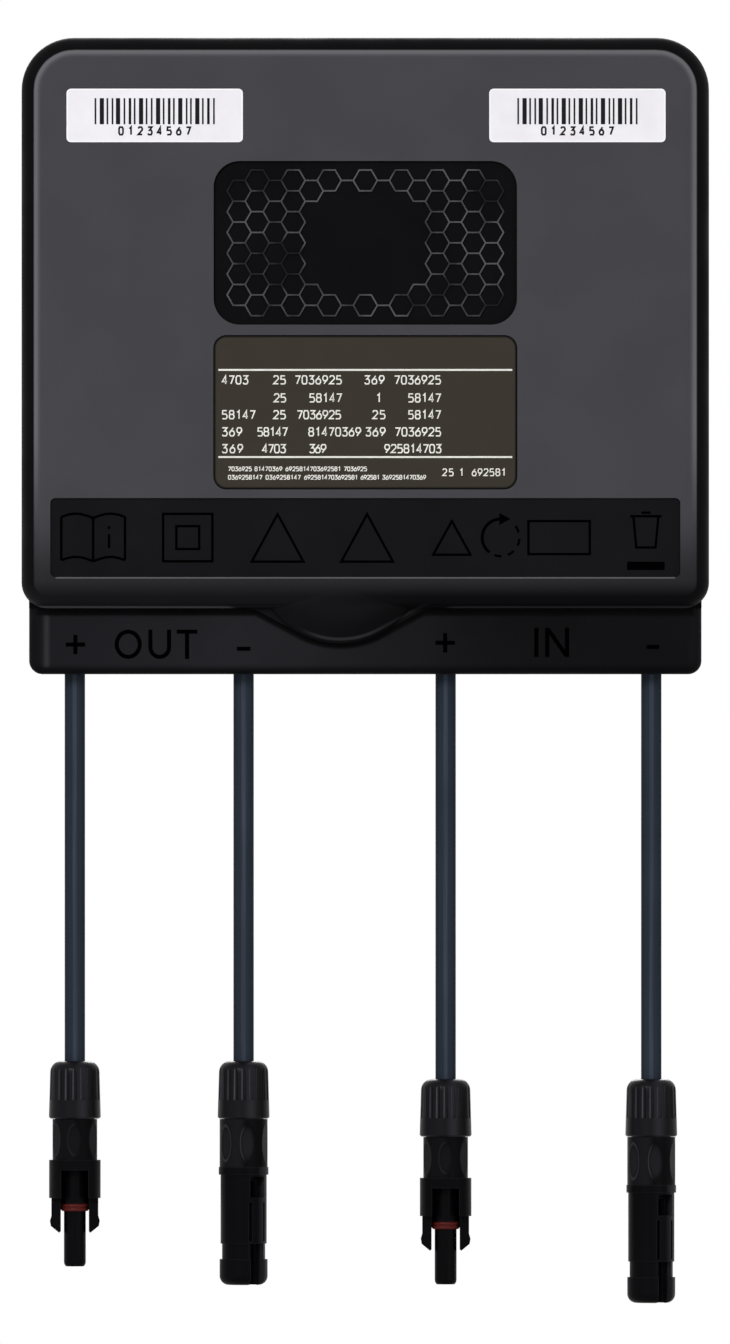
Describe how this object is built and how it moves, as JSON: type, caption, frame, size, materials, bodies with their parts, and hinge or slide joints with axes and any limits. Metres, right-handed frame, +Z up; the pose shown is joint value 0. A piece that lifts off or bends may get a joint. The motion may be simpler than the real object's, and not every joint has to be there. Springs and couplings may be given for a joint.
{
  "type": "power optimizer",
  "caption": "Flat rounded box with a dark moulded cover over a black tray, and short cables hanging from its lower edge that end in panel connectors; tunes a solar module's output.",
  "frame": {"origin": "centre of the flat back face, in the middle of the four threaded inserts", "axes": "+Y out of the back, front faces -Y, +X to the right of the front view, +Z up"},
  "size_m": [0.229, 0.0363, 0.4217],
  "materials": {
    "cover": "fine moulded texture, dark grey",
    "tray": "fine moulded texture, black",
    "rubber": "matt black",
    "steel": "zinc plated",
    "brass": "turned",
    "label_white": "printed film, satin",
    "label_olive": "printed film, satin",
    "board": "solder mask over glass laminate",
    "aluminium": "milled",
    "pad": "soft filled silicone",
    "chip": "moulded compound",
    "ferrite": "ground",
    "copper": "enamelled copper wire",
    "can": "sleeved can",
    "film": "moulded case",
    "cable": "satin cross-linked jacket, slate black",
    "connector": "satin moulding, black",
    "clamp": "moulded",
    "ring": "satin, dark red",
    "tin": "tinned copper"
  },
  "bodies": {
    "root": {"front_cover": "cover", "back_tray": "tray", "cover_gasket": "rubber", "cover_screws": "steel", "mount_inserts": "brass", "serial_label_left": "label_white", "serial_label_right": "label_white", "rating_label": "label_olive", "circuit_board": "board", "board_screws": "steel", "heat_spreader": "aluminium", "thermal_pad": "pad", "mosfets": "chip", "choke_core_left": "ferrite", "choke_core_right": "ferrite", "choke_winding_left": "copper", "choke_winding_right": "copper", "bulk_capacitors": "can", "film_capacitors": "film", "control_chip": "chip", "out_pos_cable": "cable", "out_pos_lug": "tin", "out_pos_gland_seal": "rubber", "out_pos_gland_cap": "connector", "out_pos_nut": "connector", "out_pos_clamp": "clamp", "out_pos_seal": "rubber", "out_pos_contact": "tin", "out_neg_cable": "cable", "out_neg_lug": "tin", "out_neg_gland_seal": "rubber", "out_neg_gland_cap": "connector", "out_neg_nut": "connector", "out_neg_clamp": "clamp", "out_neg_seal": "rubber", "out_neg_contact": "tin", "in_pos_cable": "cable", "in_pos_lug": "tin", "in_pos_gland_seal": "rubber", "in_pos_gland_cap": "connector", "in_pos_nut": "connector", "in_pos_clamp": "clamp", "in_pos_seal": "rubber", "in_pos_contact": "tin", "in_neg_cable": "cable", "in_neg_lug": "tin", "in_neg_gland_seal": "rubber", "in_neg_gland_cap": "connector", "in_neg_nut": "connector", "in_neg_clamp": "clamp", "in_neg_seal": "rubber", "in_neg_contact": "tin", "out_pos_plug": "connector", "out_pos_ring": "ring", "in_pos_plug": "connector", "in_pos_ring": "ring", "out_neg_socket": "connector", "in_neg_socket": "connector"}
  },
  "joints": []
}
